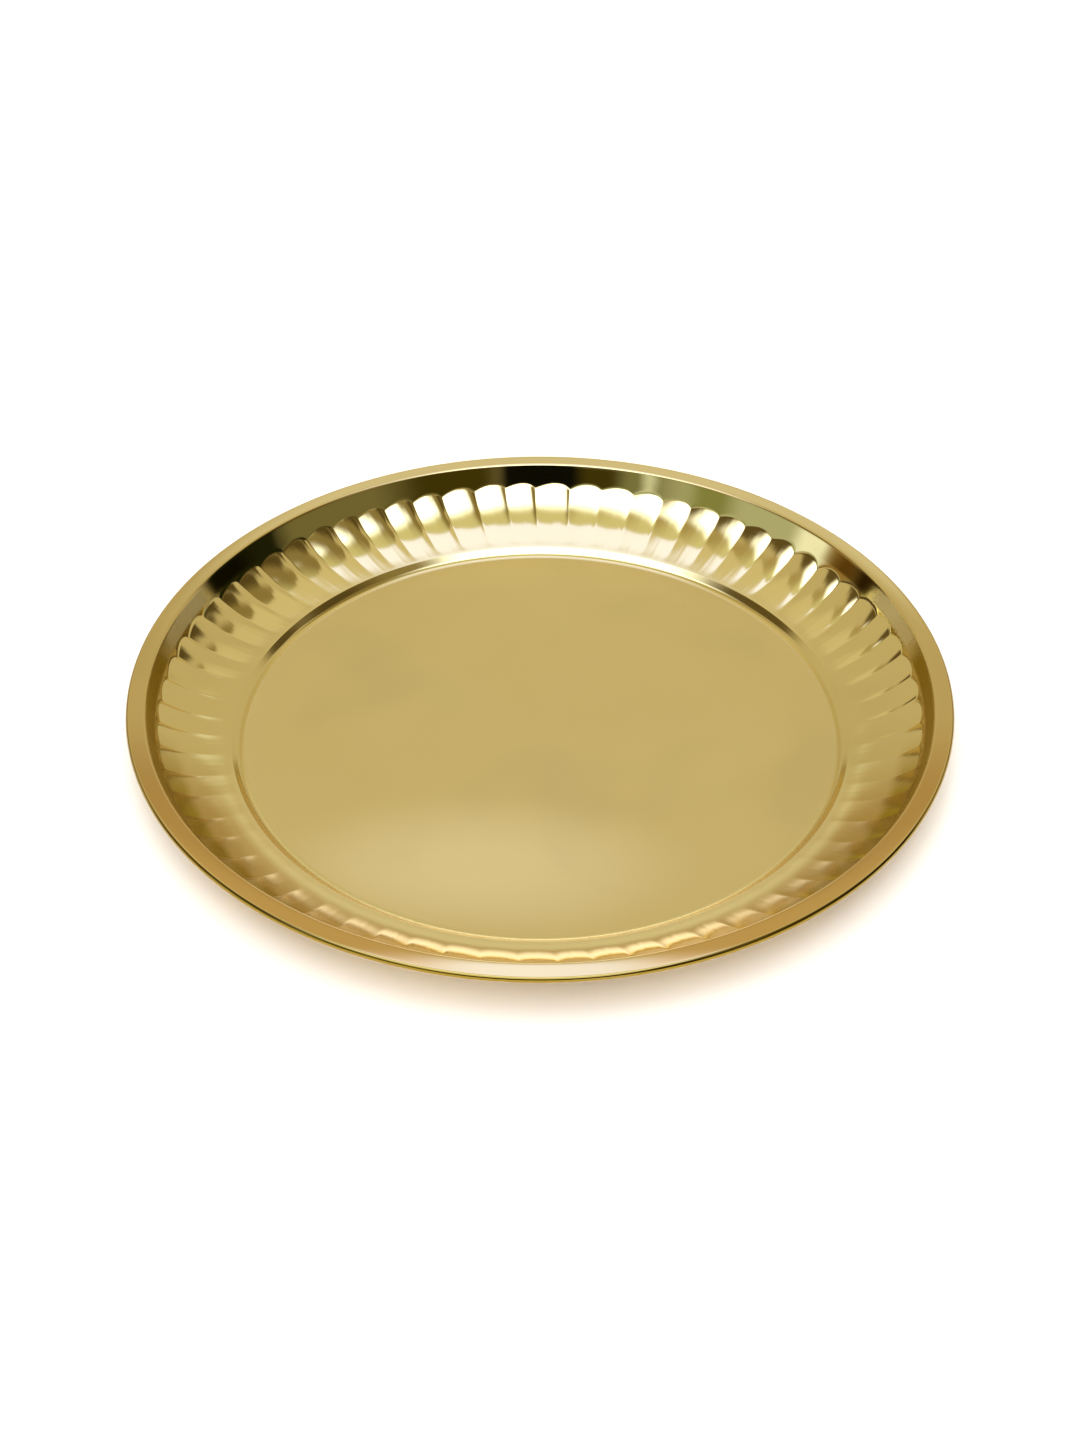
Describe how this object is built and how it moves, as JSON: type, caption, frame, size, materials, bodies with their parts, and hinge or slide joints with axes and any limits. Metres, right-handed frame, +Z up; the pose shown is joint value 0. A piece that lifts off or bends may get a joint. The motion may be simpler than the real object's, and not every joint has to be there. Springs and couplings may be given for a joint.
{
  "type": "round serving tray",
  "caption": "Round shallow brass serving tray with a flat floor, a low step, a lobed curved wall, a flat flange and a curled wired edge.",
  "frame": {"origin": "centre of the base's underside, on the surface that the tray rests on", "axes": "+Z up, out of the open side, along the tray's axis; X and Y lie in the rest plane, with +X through the middle of a lobe"},
  "size_m": [0.3, 0.3, 0.0224],
  "materials": {
    "brass_sheet": "polished",
    "edge_wire": "drawn"
  },
  "bodies": {
    "root": {"tray_pan": "brass_sheet", "rim_wire": "edge_wire"}
  },
  "joints": []
}
